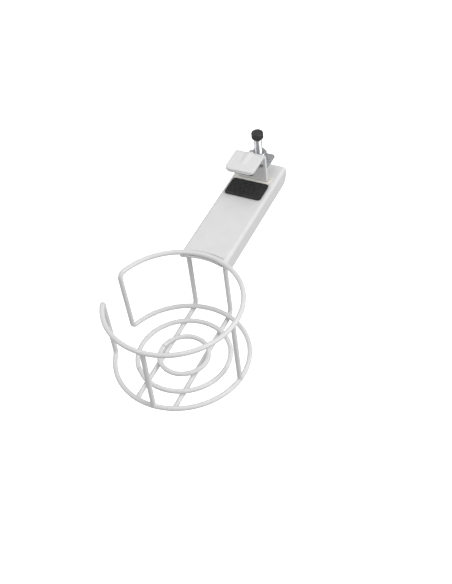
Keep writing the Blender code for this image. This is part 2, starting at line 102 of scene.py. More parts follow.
WEB_LAP = 1.4 * MM                    # the web reaches this far inside the ring's centreline
FLANGE_SETBACK = 4.5 * MM             # the flanges start this far behind the top ring
FRONT_CORNER_R = 9.0 * MM
REAR_CORNER_R = 8.0 * MM
CREASE_OFFSET = 4.4 * MM              # pressed line across the web, this far behind the top ring
CREASE_HALF = 0.42 * MM
CREASE_DEPTH = 1.15 * MM
WEB_BOTTOM = WEB_TOP - SHEET
NOTCH_Z = WEB_BOTTOM - GAP            # the flanges' front ends start at this level
STRIP_T = 2.5 * MM                    # the hook's strip
STRIP_EDGE_R = 0.45 * MM
HOOK_BEND_R = 5.5 * MM
HOOK_CORNER_R = 3.5 * MM              # corners at the front of the jaw
HOOK_TAIL_R = 1.2 * MM                # corners at the strip's other end
BEAD_WIDTH = 6.4 * MM                 # stiffening bead pressed along the jaw
BEAD_RISE = 0.75 * MM
LEG_Y = HOOK_HIGH.y - STRIP_T / 2
GUIDE_WALL = 1.2 * MM
GUIDE_RIM = 1.5 * MM
GUIDE_LIP = 0.8 * MM
GUIDE_FLANGE_T = 1.0 * MM
SHELF_T = 2.0 * MM                    # the nut bracket
BRACKET_BEND_R = 3.0 * MM
RIVET_SHANK_R = 1.5 * MM
RIVET_DOME = 1.3 * MM
RIVET_FLAT = 0.8 * MM
SCREW_R = 2.95 * MM
GROOVE_R = 2.3 * MM
THREAD_PITCH = 1.0 * MM
THREAD_DEPTH = 0.42 * MM
KNOB_LOBES = 6
LOBE_DEPTH = 0.9 * MM
BOSS_R = 6.3 * MM
BOSS_H = 3.0 * MM
POCKET_R = 6.2 * MM
POCKET_H = 4.0 * MM
PAD_CORNER_R = 2.0 * MM
PAD_RIBS = 8
RIB_GROOVE = 0.75 * MM
RIB_DEPTH = 0.45 * MM

# Camera: lens for a 36 mm sensor on the long side, and its place, aim and roll.
CAMERA_PLACE = Vector((0.28197, -0.53892, 0.51278))
CAMERA_AZIMUTH = 29.92
CAMERA_ELEVATION = 45.37
CAMERA_ROLL = -7.56
CAMERA_LENS = 67.81
FLOOR_Z = -0.74                       # a desk's height below the clamp
BACKDROP_GLOW = 1.0
WORLD_STRENGTH = 0.42

# Lights, all aimed at the arm's middle: place, size and power.
LIGHT_AIM = (0.0, -0.08, -0.02)
LIGHTS = {
    "key": ((1.15, -0.05, 0.85), 1.1, 12.5),
    "overhead": ((-0.10, 0.10, 1.40), 1.3, 4.5),
    "fill": ((-1.30, -0.60, 0.40), 1.2, 4.7),
}


# ---- materials ----
class Shade:
    """A small wrapper that adds nodes to one material."""

    def __init__(self, name, colour, roughness, metallic=0.0):
        self.material = bpy.data.materials.new(name)
        self.material.use_nodes = True
        self.tree = self.material.node_tree
        self.shader = self.tree.nodes["Principled BSDF"]
        self.shader.inputs["Base Color"].default_value = (*colour, 1.0)
        self.shader.inputs["Roughness"].default_value = roughness
        self.shader.inputs["Metallic"].default_value = metallic
        self.place = self.node("ShaderNodeTexCoord").outputs["Object"]

    def node(self, kind, **settings):
        made = self.tree.nodes.new(kind)
        for key, value in settings.items():
            setattr(made, key, value)
        return made

    def link(self, source, target):
        self.tree.links.new(source, target)

    def noise(self, size, detail, roughness=0.5, stretch=(1, 1, 1)):
        """Noise whose lumps are about size across."""
        mapping = self.node("ShaderNodeMapping")
        mapping.inputs["Scale"].default_value = stretch
        self.link(self.place, mapping.inputs["Vector"])
        made = self.node("ShaderNodeTexNoise")
        made.inputs["Scale"].default_value = 1.0 / size
        made.inputs["Detail"].default_value = detail
        made.inputs["Roughness"].default_value = roughness
        self.link(mapping.outputs["Vector"], made.inputs["Vector"])
        return made.outputs["Fac"]

    def ramp(self, value, low, high, start=0.3, end=0.7):
        """Maps a 0 to 1 value to the range low to high."""
        made = self.node("ShaderNodeMapRange")
        made.inputs["From Min"].default_value = start
        made.inputs["From Max"].default_value = end
        made.inputs["To Min"].default_value = low
        made.inputs["To Max"].default_value = high
        self.link(value, made.inputs["Value"])
        return made.outputs["Result"]

    def blend(self, value, first, second):
        made = self.node("ShaderNodeMix", data_type="RGBA")
        made.inputs["A"].default_value = (*first, 1.0)
        made.inputs["B"].default_value = (*second, 1.0)
        self.link(value, made.inputs["Factor"])
        return made.outputs["Result"]

    def colour(self, value, first, second):
        self.link(self.blend(value, first, second), self.shader.inputs["Base Color"])

    def cloudy(self, size, detail, first, second):
        """Soft patches between two colours."""
        self.colour(self.ramp(self.noise(size, detail), 0.0, 1.0), first, second)

    def rough(self, size, detail, low, high):
        """Patches of lower and higher roughness."""
        value = self.ramp(self.noise(size, detail), low, high)
        self.link(value, self.shader.inputs["Roughness"])

    def bump(self, *layers):
        """Each layer is a height value and its depth in metres."""
        previous = None
        for value, depth in layers:
            made = self.node("ShaderNodeBump")
            made.inputs["Strength"].default_value = 1.0
            made.inputs["Distance"].default_value = depth
            self.link(value, made.inputs["Height"])
            if previous is not None:
                self.link(previous, made.inputs["Normal"])
            previous = made.outputs["Normal"]
        self.link(previous, self.shader.inputs["Normal"])


def orange_peel(shade):
    """Gloss and relief of the powder coat."""
    shade.rough(2.5 * MM, 4.0, 0.46, 0.58)
    shade.bump((shade.noise(1.3 * MM, 2.0), 0.045 * MM),
               (shade.noise(0.35 * MM, 3.0), 0.012 * MM))


def powder_coat(name):
    """Satin white powder coat, with a slight change of tone."""
    shade = Shade(name, (0.79, 0.79, 0.79), 0.52)
    shade.cloudy(9 * MM, 4.0, (0.765, 0.765, 0.770), (0.800, 0.800, 0.797))
    orange_peel(shade)
    shade.shader.inputs["Coat Weight"].default_value = 0.06
    shade.shader.inputs["Coat Roughness"].default_value = 0.35
    return shade.material


def worn_coat(name):
    """The hook's powder coat, rubbed thin in streaks along the leg."""
    shade = Shade(name, (0.80, 0.80, 0.80), 0.40)
    streaks = shade.noise(1.2 * MM, 5.0, 0.6, stretch=(1.0, 1.0, 0.08))
    worn = shade.ramp(streaks, 0.0, 0.5, 0.60, 0.78)
    shade.colour(worn, (0.80, 0.80, 0.80), (0.62, 0.62, 0.63))
    orange_peel(shade)
    return shade.material


def rubber(name):
    shade = Shade(name, (0.028, 0.028, 0.030), 0.8)
    shade.cloudy(3 * MM, 5.0, (0.020, 0.020, 0.022), (0.042, 0.042, 0.043))
    shade.rough(1.0 * MM, 4.0, 0.70, 0.92)
    shade.bump((shade.noise(0.25 * MM, 3.0), 0.03 * MM))
    return shade.material


def zinc(name):
    """Bright zinc plate: cool, with soft cloudy patches and fine drawn lines."""
    shade = Shade(name, (0.66, 0.68, 0.71), 0.3, 1.0)
    shade.cloudy(3 * MM, 4.0, (0.60, 0.62, 0.66), (0.74, 0.74, 0.73))
    shade.rough(0.8 * MM, 5.0, 0.22, 0.42)
    shade.bump((shade.noise(0.22 * MM, 4.0, stretch=(1, 1, 6)), 0.006 * MM))
    return shade.material


def spring_steel(name):
    shade = Shade(name, (0.16, 0.16, 0.17), 0.4, 1.0)
    shade.cloudy(1.5 * MM, 4.0, (0.10, 0.10, 0.115), (0.22, 0.21, 0.20))
    shade.rough(0.5 * MM, 4.0, 0.32, 0.55)
    shade.bump((shade.noise(0.2 * MM, 3.0), 0.01 * MM))
    return shade.material


def nylon(name):
    shade = Shade(name, (0.80, 0.78, 0.72), 0.45)
    shade.cloudy(4 * MM, 3.0, (0.76, 0.74, 0.68), (0.84, 0.82, 0.77))
    shade.rough(1.0 * MM, 3.0, 0.40, 0.55)
    shade.bump((shade.noise(0.5 * MM, 2.0), 0.008 * MM))
    shade.shader.inputs["Subsurface Weight"].default_value = 0.15
    shade.shader.inputs["Subsurface Radius"].default_value = (1.2 * MM, 1.0 * MM, 0.8 * MM)
    return shade.material


def knob_plastic(name):
    """Black moulded plastic with a fine spark-eroded texture."""
    shade = Shade(name, (0.03, 0.03, 0.032), 0.45)
    shade.cloudy(5 * MM, 4.0, (0.022, 0.022, 0.024), (0.040, 0.040, 0.042))
    shade.rough(0.6 * MM, 4.0, 0.38, 0.58)
    shade.bump((shade.noise(0.28 * MM, 3.0), 0.022 * MM))
    return shade.material


SLOT_MATERIALS = {
    "wire_coat": powder_coat("wire_powder_coat"),
    "sheet_coat": powder_coat("sheet_powder_coat"),
    "hook_coat": worn_coat("hook_powder_coat"),
    "pad_rubber": rubber("ribbed_rubber"),
    "zinc_plate": zinc("bright_zinc"),
    "spring_steel": spring_steel("dark_spring_steel"),
    "guide_nylon": nylon("natural_nylon"),
    "knob_plastic": knob_plastic("black_plastic"),
}


# ---- building blocks ----
def finish_piece(obj, body, slot, nodes=(), paint=None, sharp=40.0):
    """Give a piece the material of its slot (or of paint when given), smooth shading and a body,
    and hide the CAD nodes it stands for.
    """
    obj.data.materials.clear()
    obj.data.materials.append(SLOT_MATERIALS[paint or slot])
    obj.data.shade_smooth()
    obj.data.set_sharp_from_angle(angle=math.radians(sharp))
    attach(obj, body)
    if nodes:
        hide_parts(*nodes)
    return obj


def new_object(name, bm):
    data = bpy.data.meshes.new(name)
    bmesh.ops.recalc_face_normals(bm, faces=bm.faces)
    bm.to_mesh(data)
    bm.free()
    obj = bpy.data.objects.new(name, data)
    bpy.context.scene.collection.objects.link(obj)
    return obj


def bake(obj, *helpers):
    """Replace the object's mesh by its evaluated one, then remove its modifiers and helpers."""
    bpy.context.view_layer.update()
    evaluated = obj.evaluated_get(bpy.context.evaluated_depsgraph_get())
    mesh = bpy.data.meshes.new_from_object(evaluated)
    obj.modifiers.clear()
    old = obj.data
    obj.data = mesh
    bpy.data.meshes.remove(old)
    mesh.name = obj.name
    for helper in helpers:
        bpy.data.objects.remove(helper, do_unlink=True)
    return obj


def block(name, size, centre):
    """A plain box of this size about its centre."""
    bm = bmesh.new()
    bmesh.ops.create_cube(bm, size=1.0)
    bmesh.ops.scale(bm, vec=Vector(size), verts=bm.verts)
    bmesh.ops.translate(bm, vec=Vector(centre), verts=bm.verts)
    return new_object(name, bm)


def box_block(name, low, high):
    return block(name, high - low, (low + high) / 2)


def drum(name, radius, low, high, xy):
    """An upright cylinder between two levels."""
    bm = bmesh.new()
    bmesh.ops.create_cone(bm, cap_ends=True, segments=64, radius1=radius, radius2=radius,
                          depth=high - low)
    bmesh.ops.translate(bm, vec=Vector((*xy, (low + high) / 2)), verts=bm.verts)
    return new_object(name, bm)


def add_boolean(obj, other, operation):
    mod = obj.modifiers.new(operation.lower(), "BOOLEAN")
    mod.operation = operation
    mod.solver = "EXACT"
    mod.object = other


def add_bevel(obj, width, segments, angle):
    mod = obj.modifiers.new("edges", "BEVEL")
    mod.width = width
    mod.segments = segments
    mod.limit_method = "ANGLE"
    mod.angle_limit = math.radians(angle)
    mod.use_clamp_overlap = True


def rows_mesh(name, rows, closed_rows=True, cyclic=False):
    """A skin over rows of points.  Rows are loops when closed_rows, and then both ends are
    filled, unless the last row joins the first one (cyclic)."""
    bm = bmesh.new()
    made = [[bm.verts.new(point) for point in row] for row in rows]
    count = len(made[0])
    last = count if closed_rows else count - 1
    pairs = list(zip(made, made[1:]))
    if cyclic:
        pairs.append((made[-1], made[0]))
    for first, second in pairs:
        for i in range(last):
            j = (i + 1) % count
            bm.faces.new((first[i], first[j], second[j], second[i]))
    if closed_rows and not cyclic:
        bm.faces.new(list(reversed(made[0])))
        bm.faces.new(made[-1])
    return new_object(name, bm)


def frames_along(path, cyclic=False):
    """Tangent and two cross directions at each point of a path, without twist."""
    count = len(path)
    tangents = []
    for i in range(count):
        before = path[i - 1] if (cyclic or i > 0) else path[i]
        after = path[(i + 1) % count] if (cyclic or i < count - 1) else path[i]
        tangents.append((after - before).normalized())
    side = tangents[0].orthogonal().normalized()
    frames = []
    for i, tangent in enumerate(tangents):
        if i:
            side = tangents[i - 1].rotation_difference(tangent) @ side
        side = (side - tangent * side.dot(tangent)).normalized()
        frames.append((tangent, side, tangent.cross(side)))
    if cyclic:
        carried = tangents[-1].rotation_difference(tangents[0]) @ frames[-1][1]
        first = frames[0]
        twist = math.atan2(carried.dot(first[2]), carried.dot(first[1]))
        for i, (tangent, side, up) in enumerate(frames):
            turn = Matrix.Rotation(-twist * i / count, 3, tangent)
            frames[i] = (tangent, turn @ side, turn @ up)
    return frames


def tube(name, path, radii, sides=20, cyclic=False):
    """A round wire along a path, with its own radius at each point."""
    rows = []
    for point, radius, (_, side, up) in zip(path, radii, frames_along(path, cyclic)):
        angles = [2 * math.pi * k / sides for k in range(sides)]
        rows.append([point + side * radius * math.cos(a) + up * radius * math.sin(a)
                     for a in angles])
    return rows_mesh(name, rows, cyclic=cyclic)


def rounded_ends(path, radius, start=0.35 * MM, end=0.35 * MM, steps=6):
    """Path and radii of a wire whose cut ends are rounded by the given amounts."""
    points, radii = list(path), [radius] * len(path)
    for at_end, amount in ((False, start), (True, end)):
        tip = points[-1] if at_end else points[0]
        inside = points[-2] if at_end else points[1]
        out = (tip - inside).normalized()
        extra, extra_r = [], []
        for i in range(steps + 1):
            t = math.radians(90.0 * i / steps)
            extra.append(tip - out * amount * (1 - math.sin(t)))
            extra_r.append(max(radius - amount + amount * math.cos(t), 0.02 * MM))
        if at_end:
            points, radii = points[:-1] + extra, radii[:-1] + extra_r
        else:
            points, radii = extra[::-1] + points[1:], extra_r[::-1] + radii[1:]
    return points, radii


def lathe(name, profile, place, segments):
    """A turned piece from (radius, height) points; radius 0 closes on the axis."""
    bm = bmesh.new()
    rows = []
    for radius, height in profile:
        if radius < 1e-7:
            rows.append([bm.verts.new(place @ Vector((0, 0, height)))])
            continue
        angles = [2 * math.pi * k / segments for k in range(segments)]
        ring = [Vector((radius * math.cos(a), radius * math.sin(a), height)) for a in angles]
        rows.append([bm.verts.new(place @ point) for point in ring])
    pairs = list(zip(rows, rows[1:]))
    if len(rows[0]) > 1 and len(rows[-1]) > 1:
        pairs.append((rows[-1], rows[0]))
    for first, second in pairs:
        for i in range(segments):
            j = (i + 1) % segments
            corner = [first[i % len(first)], first[j % len(first)],
                      second[j % len(second)], second[i % len(second)]]
            unique = list(dict.fromkeys(corner))
            if len(unique) > 2:
                bm.faces.new(unique)
    return new_object(name, bm)


def arc(centre, radius, start, end, steps):
    """Points on an arc, with its angles in degrees."""
    angles = [math.radians(start + (end - start) * i / steps) for i in range(steps + 1)]
    return [(centre[0] + radius * math.cos(a), centre[1] + radius * math.sin(a)) for a in angles]


def rounded_profile(corners, radius, steps=4):
    """A (radius, height) profile whose inner corners are rounded; ends stay as they are."""
    points = [corners[0]]
    for before, corner, after in zip(corners, corners[1:], corners[2:]):
        here = Vector(corner)
        back = Vector(before) - here
        ahead = Vector(after) - here
        reach = min(radius, back.length * 0.45, ahead.length * 0.45)
        start = here + back.normalized() * reach
        end = here + ahead.normalized() * reach
        for i in range(steps + 1):
            t = i / steps
            points.append(tuple(start * (1 - t) ** 2 + here * 2 * t * (1 - t) + end * t ** 2))
    points.append(corners[-1])
    return points


def smooth_step(value):
    """0 below 0, 1 above 1, with an even S between."""
    held = min(max(value, 0.0), 1.0)
    return held * held * (3.0 - 2.0 * held)


# ---- wire cage ----
def ring_point(angle, height, radius=RING_R):
    """Place at an angle in degrees around the cup's axis."""
    a = math.radians(angle)
    return Vector((radius * math.cos(a), CUP_Y + radius * math.sin(a), height))


def leg_turn(angle, height, towards, steps=14):
    """Quarter bend from a ring into a leg; towards is the side of the leg that the ring is on."""
    up = 1 if height == BASE_Z else -1
    points = []
    for i in range(steps + 1):
        t = math.radians(90.0 * i / steps)
        along = LEG_BEND_R * (1 - math.sin(t))
        rise = LEG_BEND_R * (1 - math.cos(t))
        shifted = angle + towards * math.degrees(along / RING_R)
        points.append(ring_point(shifted, height + up * rise))
    return points


def main_wire():
    """One closed wire: the top ring, a leg down, the bottom ring back, and a leg up."""
    bend = math.degrees(LEG_BEND_R / RING_R)
    steps = 180

    def around(gap, height):
        start, stop = gap[0] - bend, gap[1] - 360.0 + bend
        turns = [start + (stop - start) * i / steps for i in range(1, steps)]
        return [ring_point(turn, height) for turn in turns]

    path = leg_turn(TOP_GAP[0], TOP_Z, -1)[::-1]
    path += around(TOP_GAP, TOP_Z)
    path += leg_turn(TOP_GAP[1] - 360.0, TOP_Z, 1)
    path += leg_turn(BASE_GAP[1] - 360.0, BASE_Z, 1)[::-1]
    path += around(BASE_GAP, BASE_Z)[::-1]
    path += leg_turn(BASE_GAP[0], BASE_Z, -1)
    obj = tube("main_wire_piece", path, [WIRE_R] * len(path), cyclic=True)
    return finish_piece(obj, "arm_and_cage", "wire_coat", ["main_wire"])


def base_ring(name, node, radius, seam_angle, step_out):
    """A closed ring whose butt joint shows: a fine groove, and ends that miss each other."""
    steps = 200
    half = math.degrees(SEAM_HALF / radius)
    groove_r = WIRE_R - SEAM_DEPTH
    seam = [(-half, WIRE_R), (-half * 0.6, groove_r), (half * 0.6, groove_r), (half, WIRE_R)]
    shift = Vector((BASE_RINGS_X, BASE_RINGS_Y - CUP_Y, 0))
    points = [ring_point(seam_angle + a, BASE_Z, radius) + shift for a, _ in seam]
    radii = [r for _, r in seam]
    for i in range(2, steps - 1):
        turned = 360.0 * i / steps
        miss = step_out * (turned / 360.0 - 0.5) * math.exp(-min(turned, 360 - turned) / 25)
        points.append(ring_point(seam_angle + turned, BASE_Z, radius + miss) + shift)
        radii.append(WIRE_R)
    obj = tube(name, points, radii, cyclic=True)
    return finish_piece(obj, "arm_and_cage", "wire_coat", [node], sharp=60.0)


def base_wire(side_name, side):
    """Rear upright, tight bend under the bottom ring, runner with a rounded front end."""
    x = side * RUNNER_X
    top = WEB_BOTTOM - 0.05 * MM
    path = [Vector((x, UPRIGHT_Y, top - (top - BASE_Z) * i / 12)) for i in range(12)]
    centre = (UPRIGHT_Y - RUNNER_BEND_R, RUNNER_Z + RUNNER_BEND_R)
    path += [Vector((x, y, z)) for y, z in arc(centre, RUNNER_BEND_R, 0, -90, 16)]
    start = path[-1].y
    path += [Vector((x, start + (RUNNER_FRONT - start) * i / 20, RUNNER_Z)) for i in range(1, 21)]
    points, radii = rounded_ends(path, WIRE_R, end=1.45 * MM)
    obj = tube("base_wire_" + side_name + "_piece", points, radii)
    return finish_piece(obj, "arm_and_cage", "wire_coat", ["base_wire_" + side_name])


def upright(node):
    """Straight wire butted between the two rings, coped into both."""
    low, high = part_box(node)
    centre = (low + high) / 2
    steps = 8
    levels = [BASE_Z + (TOP_Z - BASE_Z) * i / steps for i in range(steps + 1)]
    path = [Vector((centre.x, centre.y, level)) for level in levels]
    obj = tube(node + "_piece", path, [WIRE_R] * len(path))
    return finish_piece(obj, "arm_and_cage", "wire_coat", [node])


# ---- welds ----
def weld(name, arms, blobs):
    """A fused joint: short lengths of the wires and blobs of weld metal, blended together."""
    bm = bmesh.new()
    for start, end in arms:
        axis = end - start
        turn = Vector((0, 0, 1)).rotation_difference(axis.normalized()).to_matrix().to_4x4()
        place = Matrix.Translation((start + end) / 2) @ turn
        radius = WIRE_R + WELD_SKIN
        bmesh.ops.create_cone(bm, cap_ends=True, segments=32, radius1=radius, radius2=radius,
                              depth=axis.length, matrix=place)
    for centre, size in blobs:
        scale = Matrix.Diagonal((*size, 1.0))
        bmesh.ops.create_icosphere(bm, subdivisions=3, radius=1.0,
                                   matrix=Matrix.Translation(centre) @ scale)
    obj = new_object(name, bm)
    remesh = obj.modifiers.new("fuse", "REMESH")
    remesh.mode = "VOXEL"
    remesh.voxel_size = WELD_VOXEL
    smooth = obj.modifiers.new("blend", "SMOOTH")
    smooth.factor = 0.5
    smooth.iterations = WELD_SMOOTHING
    thin = obj.modifiers.new("thin", "DECIMATE")
    thin.ratio = 0.45
    bake(obj)
    return finish_piece(obj, "arm_and_cage", "wire_coat", sharp=180.0)


def crossing_welds(name, radius):
    """Welds where a base ring lies on the two runners."""
    for side in (-1, 1):
        for end in (-1, 1):
            x = side * RUNNER_X
            away = x - BASE_RINGS_X
            y = BASE_RINGS_Y + end * math.sqrt(radius ** 2 - away ** 2)
            along = Vector((-(y - BASE_RINGS_Y), away, 0)).normalized()
            top = Vector((x, y, BASE_Z))
            bottom = Vector((x, y, RUNNER_Z))
            straight = Vector((0, WELD_REACH, 0))
            arms = [(top - along * WELD_REACH, top + along * WELD_REACH),
                    (bottom - straight, bottom + straight)]
            middle = (top + bottom) / 2
            label = f"{name}_{'left' if side < 0 else 'right'}_{'front' if end < 0 else 'rear'}"
            weld(label, arms, [(middle, CROSSING_BLOB)])


def bottom_ring_welds():
    """Bottom ring in the runners' rear bends, and on the runners' rounded front ends."""
    for side in (-1, 1):
        x = side * RUNNER_X
        label = "left" if side < 0 else "right"
        y = CUP_Y + math.sqrt(RING_R ** 2 - RUNNER_X ** 2)
        along = Vector((-(y - CUP_Y), x, 0)).normalized()
        ring = Vector((x, y, BASE_Z))
        inset = RUNNER_BEND_R * (1 - math.sqrt(0.5))
        bend = Vector((x, UPRIGHT_Y - inset, RUNNER_Z + inset))
        arms = [(ring - along * WELD_REACH, ring + along * WELD_REACH)]
        weld("weld_rear_bend_" + label, arms, [((ring + bend) / 2, REAR_BEND_BLOB)])
        front = Vector((x, 2 * CUP_Y - y, BASE_Z))
        along = Vector((y - CUP_Y, x, 0)).normalized()
        arms = [(front - along * WELD_REACH, front + along * WELD_REACH)]
        under = Vector((x, RUNNER_FRONT + 1.3 * MM, (BASE_Z + RUNNER_Z) / 2))
        weld("weld_front_end_" + label, arms, [(under, FRONT_END_BLOB)])


def upright_welds(node):
    """Welds where an upright meets the top ring and the bottom ring."""
    low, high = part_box(node)
    x, y = (low.x + high.x) / 2, (low.y + high.y) / 2
    along = Vector((-(y - CUP_Y), x, 0)).normalized()
    for label, z, into in (("top", TOP_Z, -1), ("bottom", BASE_Z, 1)):
        ring = Vector((x, y, z))
        foot = ring + Vector((0, 0, into * 3.6 * MM))
        arms = [(ring - along * UPRIGHT_REACH, ring + along * UPRIGHT_REACH), (ring, foot)]
        collar = ring + Vector((0, 0, into * 1.5 * MM))
        weld(f"weld_{node}_{label}", arms, [(collar, UPRIGHT_BLOB)])


def arm_welds():
    """Uprights under the web, and the bead that ties the top ring to the web's arc."""
    for side in (-1, 1):
        top = Vector((side * RUNNER_X, UPRIGHT_Y, WEB_BOTTOM))
        label = "left" if side < 0 else "right"
        wire = (top - Vector((0, 0, 3.4 * MM)), top - Vector((0, 0, 0.2 * MM)))
        collar = (top - Vector((0, 0, 0.5 * MM)), WEB_BLOB)
        weld("weld_upright_" + label, [wire], [collar])
    rim_bead()


def rim_bead():
    """Fine bead that fills the corner between the top ring and the web's cut edge."""
    half = math.degrees(math.asin((ARM_HIGH.x - RIM_BEAD_STOP) / RING_R))
    steps = 150
    path, radii = [], []
    for i in range(steps + 1):
        t = i / steps
        ripple = 0.05 * MM * math.sin(0.9 * i) + 0.06 * MM * noise.noise(Vector((t * 40, 0, 0)))
        angle = 90 + half - 2 * half * t
        path.append(ring_point(angle, WEB_TOP - RIM_BEAD_DROP, RING_R - RIM_BEAD_INSET + ripple))
        taper = max(min(1.0, 9 * math.sin(math.pi * t)), 0.05)
        radii.append((RIM_BEAD_R + ripple) * taper)
    obj = tube("rim_weld_bead", path, radii, sides=14)
    return finish_piece(obj, "arm_and_cage", "wire_coat", sharp=180.0)


def build_cage():
    main_wire()
    base_ring("middle_ring_piece", "middle_ring", MIDDLE_R, 224.0, 0.5 * MM)
    base_ring("inner_ring_piece", "inner_ring", INNER_R, 174.0, 0.25 * MM)
    base_wire("left", -1)
    base_wire("right", 1)
    for node in ("side_upright", "front_upright"):
        upright(node)
        upright_welds(node)
    crossing_welds("weld_middle", MIDDLE_R)
    crossing_welds("weld_inner", INNER_R)
    bottom_ring_welds()
    arm_welds()


# ---- arm ----
def arm_section():
    """Outer line of the inverted U in X and Z, finely cut at the corners and folds."""
    half = ARM_HIGH.x
    low = ARM_LOW.z
    fold_start = WEB_TOP - FOLD_R
    flange = [low + FRONT_CORNER_R * (1 - math.cos(math.radians(5.0 * i))) for i in range(19)]
    flange = [z for z in flange if z < fold_start - 0.2 * MM]
    fold = arc((half - FOLD_R, fold_start), FOLD_R, 0, 90, 14)
    for level in (NOTCH_Z - 0.01 * MM, NOTCH_Z + 0.01 * MM):
        turn = math.asin((level - fold_start) / FOLD_R)
        fold.append((half - FOLD_R + FOLD_R * math.cos(turn), level))
    fold.sort(key=lambda point: point[1])
    right = [(half, z) for z in flange] + fold
    web_steps = 44
    inside = half - FOLD_R
    web = [(inside - 2 * inside * i / web_steps, WEB_TOP) for i in range(1, web_steps)]
    left = [(-x, z) for x, z in reversed(right)]
    return right + web + left


def arm_ends(x, z):
    """Front and rear ends of the sheet at a place on its section."""
    low = ARM_LOW.z
    front_line = CUP_Y + math.sqrt(RING_R ** 2 - ARM_HIGH.x ** 2) + FLANGE_SETBACK
    arc_line = CUP_Y + math.sqrt((RING_R - WEB_LAP) ** 2 - x ** 2)
    front = arc_line + (front_line - arc_line) * smooth_step((WEB_TOP - z) / (WEB_TOP - NOTCH_Z))
    up = low + FRONT_CORNER_R - z
    if up > 0:
        front = front_line + FRONT_CORNER_R - math.sqrt(max(FRONT_CORNER_R ** 2 - up ** 2, 0.0))
    rear = ARM_HIGH.y
    up = low + REAR_CORNER_R - z
    if up > 0:
        rear = ARM_HIGH.y - REAR_CORNER_R + math.sqrt(max(REAR_CORNER_R ** 2 - up ** 2, 0.0))
    return front, rear


def arm_row(x, z):
    """Points along the sheet at one place on its section, with the pressed line by the top ring."""
    front, rear = arm_ends(x, z)
    crease = CUP_Y + math.sqrt((RING_R + CREASE_OFFSET) ** 2 - x ** 2)
    middle = max(crease, front + 2 * CREASE_HALF)
    foot, back = middle - CREASE_HALF, middle + CREASE_HALF
    lengths = [front + (foot - front) * i / 3 for i in range(3)]
    lengths += [foot + (back - foot) * i / 12 for i in range(12)]
    lengths += [back + (rear - back) * i / 24 for i in range(25)]
    fade = smooth_step((ARM_HIGH.x - FOLD_R - abs(x)) / (1.5 * MM)) if z == WEB_TOP else 0.0
    row = []
    for y in lengths:
        drop = CREASE_DEPTH * smooth_step(1.0 - abs(y - middle) / CREASE_HALF)
        row.append(Vector((x, y, z - fade * drop)))
    return row


def build_arm():
    rows = [arm_row(x, z) for x, z in arm_section()]
    arm = rows_mesh("arm_channel_piece", rows, closed_rows=False)
    first = arm.data.polygons[0]
    if first.normal.x * first.center.x < 0:
        arm.data.flip_normals()
    solid = arm.modifiers.new("sheet", "SOLIDIFY")
    solid.thickness = SHEET
    solid.offset = -1.0
    solid.use_even_offset = True
    around = 2 * GUIDE_WALL + 4 * GAP
    slot_size = (HOOK_HIGH.x * 2 + around, STRIP_T + around, 4 * SHEET)
    slot = block("slot_cut", slot_size, (0, LEG_Y, WEB_TOP))
    hole = drum("hole_cut", SCREW_R + GAP, WEB_BOTTOM - 2 * MM, WEB_TOP + 2 * MM, (0, SCREW_Y))
    add_boolean(arm, slot, "DIFFERENCE")
    add_boolean(arm, hole, "DIFFERENCE")
    add_bevel(arm, 0.28 * MM, 3, 50.0)
    bake(arm, slot, hole)
    return finish_piece(arm, "arm_and_cage", "sheet_coat", ["arm_channel"])


# ---- pads and guide ----
def build_pad(node, body, face_up):
    """Rubber pad with rounded corners and ribs across its working face."""
    low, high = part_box(node)
    outline = []
    corners = ((high.x, high.y), (low.x, high.y), (low.x, low.y), (high.x, low.y))
    for turn, (cx, cy) in enumerate(corners):
        inner = (cx - math.copysign(PAD_CORNER_R, cx), cy - math.copysign(PAD_CORNER_R, cy))
        outline += arc(inner, PAD_CORNER_R, 90 * turn, 90 * turn + 90, 6)
    rows = [[Vector((x, y, z)) for x, y in outline] for z in (low.z, high.z)]
    pad = rows_mesh(node + "_piece", rows)
    bm = bmesh.new()
    length = high.y - low.y
    z = high.z if face_up else low.z
    size = Matrix.Diagonal((high.x - low.x + 2 * MM, RIB_GROOVE, RIB_DEPTH * 2, 1.0))
    for i in range(1, PAD_RIBS):
        place = Matrix.Translation((0, low.y + length * i / PAD_RIBS, z))
        bmesh.ops.create_cube(bm, size=1.0, matrix=place @ size)
    grooves = new_object("groove_cut", bm)
    add_boolean(pad, grooves, "DIFFERENCE")
    add_bevel(pad, 0.14 * MM, 2, 50.0)
    bake(pad, grooves)
    return finish_piece(pad, body, "pad_rubber", [node])


def build_guide():
    """Nylon frame in the web's slot: a rim above, a smaller snap lip below."""
    low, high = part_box("leg_guide")
    rim = Vector((GUIDE_RIM, GUIDE_RIM, 0))
    guide = box_block("leg_guide_piece", low + rim, high - rim)
    top = box_block("guide_top", Vector((low.x, low.y, high.z - GUIDE_FLANGE_T)), high)
    shrink = Vector((GUIDE_RIM - GUIDE_LIP, GUIDE_RIM - GUIDE_LIP, 0))
    bottom_high = Vector((high.x, high.y, low.z + GUIDE_FLANGE_T)) - shrink
    bottom = box_block("guide_bottom", low + shrink, bottom_high)
    size = (HOOK_HIGH.x * 2 + 2 * GAP, STRIP_T + 2 * GAP, high.z - low.z + 4 * MM)
    hole = block("guide_hole", size, (0, LEG_Y, (low.z + high.z) / 2))
    add_boolean(guide, top, "UNION")
    add_boolean(guide, bottom, "UNION")
    add_boolean(guide, hole, "DIFFERENCE")
    add_bevel(guide, 0.25 * MM, 3, 50.0)
    bake(guide, top, bottom, hole)
    return finish_piece(guide, "arm_and_cage", "guide_nylon", ["leg_guide"])


